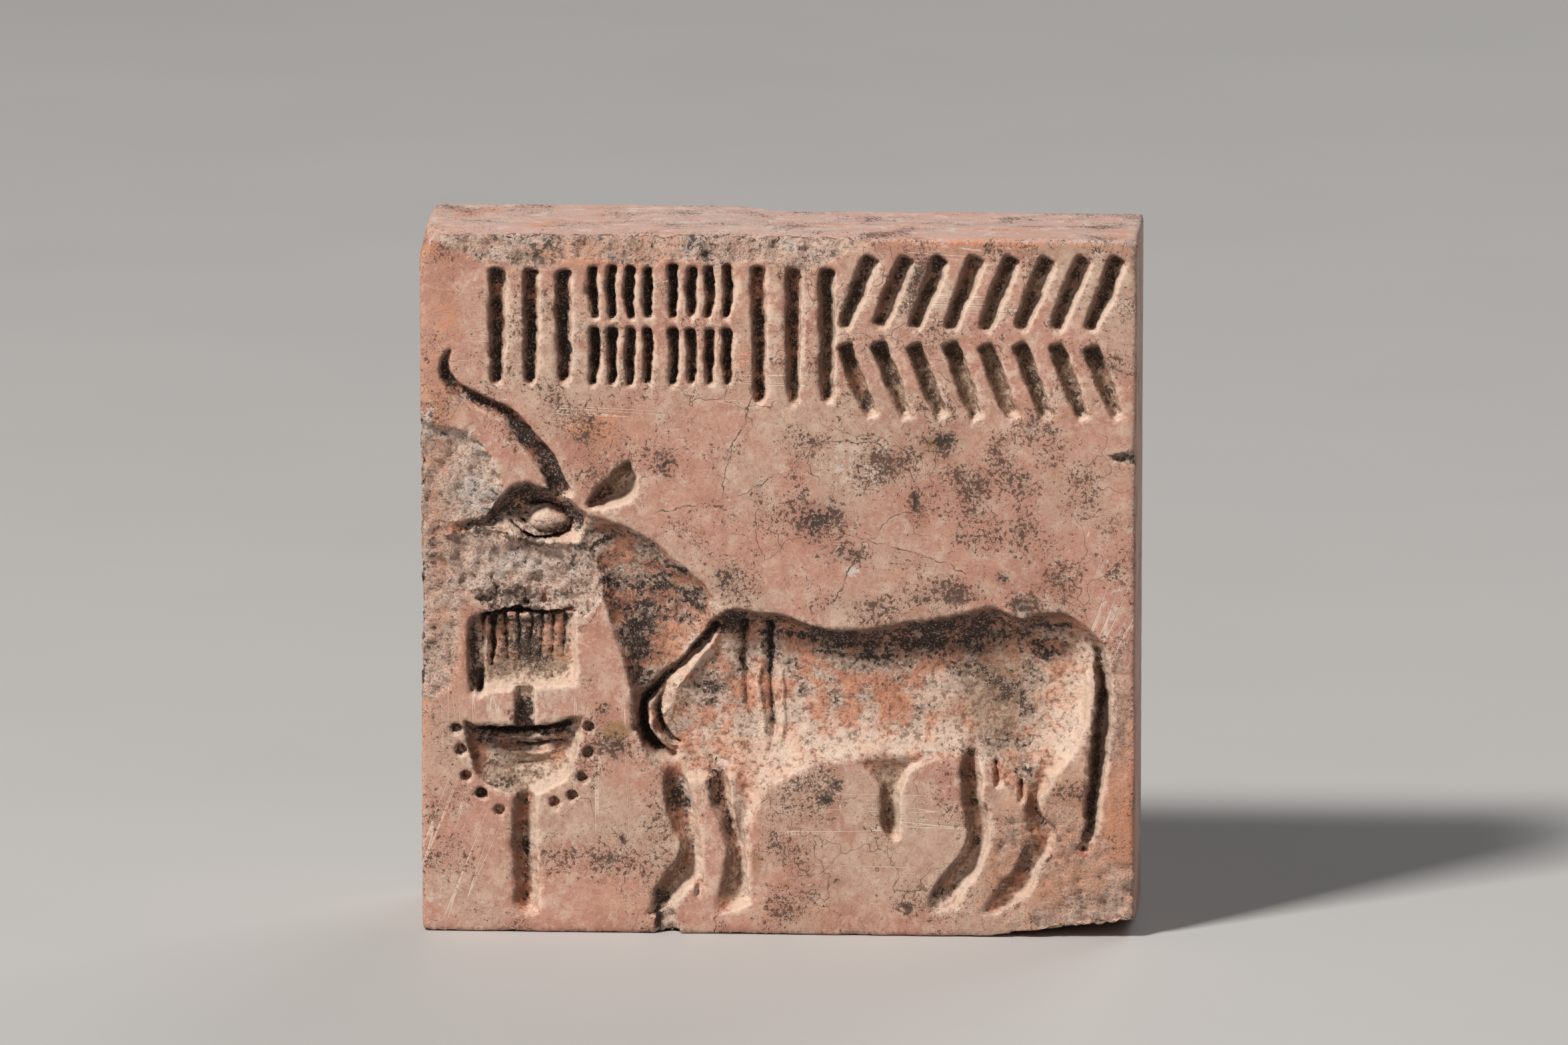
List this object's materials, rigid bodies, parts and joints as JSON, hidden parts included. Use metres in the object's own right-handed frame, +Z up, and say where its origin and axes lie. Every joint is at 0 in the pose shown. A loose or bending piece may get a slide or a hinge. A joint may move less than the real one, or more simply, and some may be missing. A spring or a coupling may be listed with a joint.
{
  "type": "stone stamp seal",
  "caption": "Square stone stamp seal with a bull sunk into its face, rows of strokes above it and a pierced, grooved boss on its back.",
  "frame": {"origin": "middle of the foot that the seal stands on, half way between the carved face and the top of the boss", "axes": "+Z up the face as it is read, +X to the reader's right, -Y out of the carved face and +Y out of the boss"},
  "size_m": [0.036, 0.0159, 0.0356],
  "materials": {
    "stone": "dull salmon-pink fired stone, worn paler on its arrises, with dark specks and dirt in the carving"
  },
  "bodies": {
    "root": {"stone_seal": "stone"}
  },
  "joints": []
}
